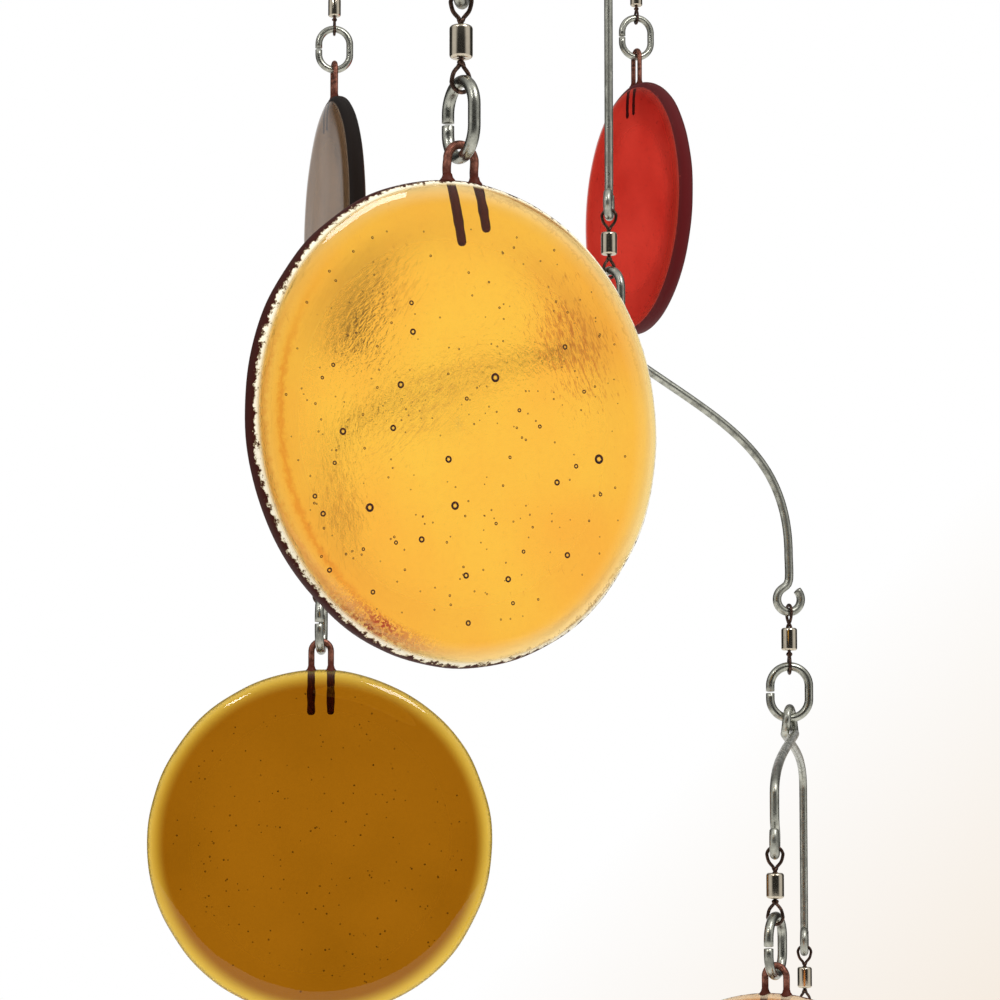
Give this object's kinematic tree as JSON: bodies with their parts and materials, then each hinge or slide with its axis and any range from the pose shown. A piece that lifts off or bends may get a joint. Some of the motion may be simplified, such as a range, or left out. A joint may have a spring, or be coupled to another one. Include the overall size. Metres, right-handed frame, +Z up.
{
  "type": "kinetic hanging mobile",
  "caption": "Hanging mobile of fused coloured glass discs on copper loops, oval rings and barrel swivels, balanced on arched steel wire arms.",
  "frame": {"origin": "top of the hole in the hanging ring, where a ceiling hook bears", "axes": "+Z up, +X to the viewer's right across the narrow width, +Y away from the viewer"},
  "size_m": [0.1897, 0.4442, 0.5234],
  "materials": {
    "arm_steel": "bare drawn steel wire, pewter grey",
    "ring_steel": "bare steel, slightly dull",
    "swivel_metal": "nickel barrel with blackened wire eyes",
    "copper_wire": "fire-darkened copper wire",
    "amber_glass": "fire-polished fused glass",
    "olive_glass": "fire-polished fused glass",
    "smoke_glass": "fire-polished fused glass",
    "red_glass": "fire-polished fused glass",
    "orange_glass": "fire-polished fused glass",
    "honey_glass": "fire-polished fused glass"
  },
  "bodies": {
    "hanger": {"hanging_ring": "ring_steel", "top_arm_swivel": "swivel_metal"},
    "top_arm": {"top_arm": "arm_steel", "top_arm_ring": "ring_steel", "top_arm_swivel_eye": "swivel_metal", "front_arm_swivel": "swivel_metal", "back_arm_swivel": "swivel_metal"},
    "front_arm": {"front_arm": "arm_steel", "front_arm_ring": "ring_steel", "front_arm_swivel_eye": "swivel_metal", "amber_swivel": "swivel_metal", "middle_arm_swivel": "swivel_metal"},
    "back_arm": {"back_arm": "arm_steel", "back_arm_ring": "ring_steel", "back_arm_swivel_eye": "swivel_metal", "smoke_swivel": "swivel_metal", "red_swivel": "swivel_metal"},
    "middle_arm": {"middle_arm": "arm_steel", "middle_arm_ring": "ring_steel", "middle_arm_swivel_eye": "swivel_metal", "olive_swivel": "swivel_metal", "lower_arm_swivel": "swivel_metal"},
    "lower_arm": {"lower_arm": "arm_steel", "lower_arm_ring": "ring_steel", "lower_arm_swivel_eye": "swivel_metal", "orange_swivel": "swivel_metal", "honey_swivel": "swivel_metal"},
    "amber": {"amber_disc": "amber_glass", "amber_copper_loop": "copper_wire", "amber_ring": "ring_steel", "amber_swivel_eye": "swivel_metal"},
    "olive": {"olive_disc": "olive_glass", "olive_copper_loop": "copper_wire", "olive_ring": "ring_steel", "olive_swivel_eye": "swivel_metal"},
    "smoke": {"smoke_disc": "smoke_glass", "smoke_copper_loop": "copper_wire", "smoke_ring": "ring_steel", "smoke_swivel_eye": "swivel_metal"},
    "red": {"red_disc": "red_glass", "red_copper_loop": "copper_wire", "red_ring": "ring_steel", "red_swivel_eye": "swivel_metal"},
    "orange": {"orange_disc": "orange_glass", "orange_copper_loop": "copper_wire", "orange_ring": "ring_steel", "orange_swivel_eye": "swivel_metal"},
    "honey": {"honey_disc": "honey_glass", "honey_copper_loop": "copper_wire", "honey_ring": "ring_steel", "honey_swivel_eye": "swivel_metal"}
  },
  "joints": [
    {"name": "top_arm_swivel_turn", "type": "hinge", "parent": "hanger", "child": "top_arm", "pos_m": [0, 0, -0.02795], "axis": [0, 0, 1], "continuous": true},
    {"name": "front_arm_swivel_turn", "type": "hinge", "parent": "top_arm", "child": "front_arm", "pos_m": [0.00671, -0.06968, -0.13925], "axis": [0, 0, 1], "continuous": true},
    {"name": "back_arm_swivel_turn", "type": "hinge", "parent": "top_arm", "child": "back_arm", "pos_m": [-0.01438, 0.14931, -0.08855], "axis": [0, 0, 1], "continuous": true},
    {"name": "amber_swivel_turn", "type": "hinge", "parent": "front_arm", "child": "amber", "pos_m": [-0.01707, -0.21981, -0.25155], "axis": [0, 0, 1], "continuous": true},
    {"name": "middle_arm_swivel_turn", "type": "hinge", "parent": "front_arm", "child": "middle_arm", "pos_m": [0.01415, -0.02266, -0.25055], "axis": [0, 0, 1], "continuous": true},
    {"name": "olive_swivel_turn", "type": "hinge", "parent": "middle_arm", "child": "olive", "pos_m": [-0.05056, -0.04, -0.32605], "axis": [0, 0, 1], "continuous": true},
    {"name": "lower_arm_swivel_turn", "type": "hinge", "parent": "middle_arm", "child": "lower_arm", "pos_m": [0.05617, -0.01141, -0.34135], "axis": [0, 0, 1], "continuous": true},
    {"name": "orange_swivel_turn", "type": "hinge", "parent": "lower_arm", "child": "orange", "pos_m": [0.04585, -0.07659, -0.39335], "axis": [0, 0, 1], "continuous": true},
    {"name": "honey_swivel_turn", "type": "hinge", "parent": "lower_arm", "child": "honey", "pos_m": [0.0665, 0.05378, -0.42605], "axis": [0, 0, 1], "continuous": true},
    {"name": "smoke_swivel_turn", "type": "hinge", "parent": "back_arm", "child": "smoke", "pos_m": [-0.05911, 0.13303, -0.15535], "axis": [0, 0, 1], "continuous": true},
    {"name": "red_swivel_turn", "type": "hinge", "parent": "back_arm", "child": "red", "pos_m": [0.03035, 0.16559, -0.14385], "axis": [0, 0, 1], "continuous": true}
  ]
}
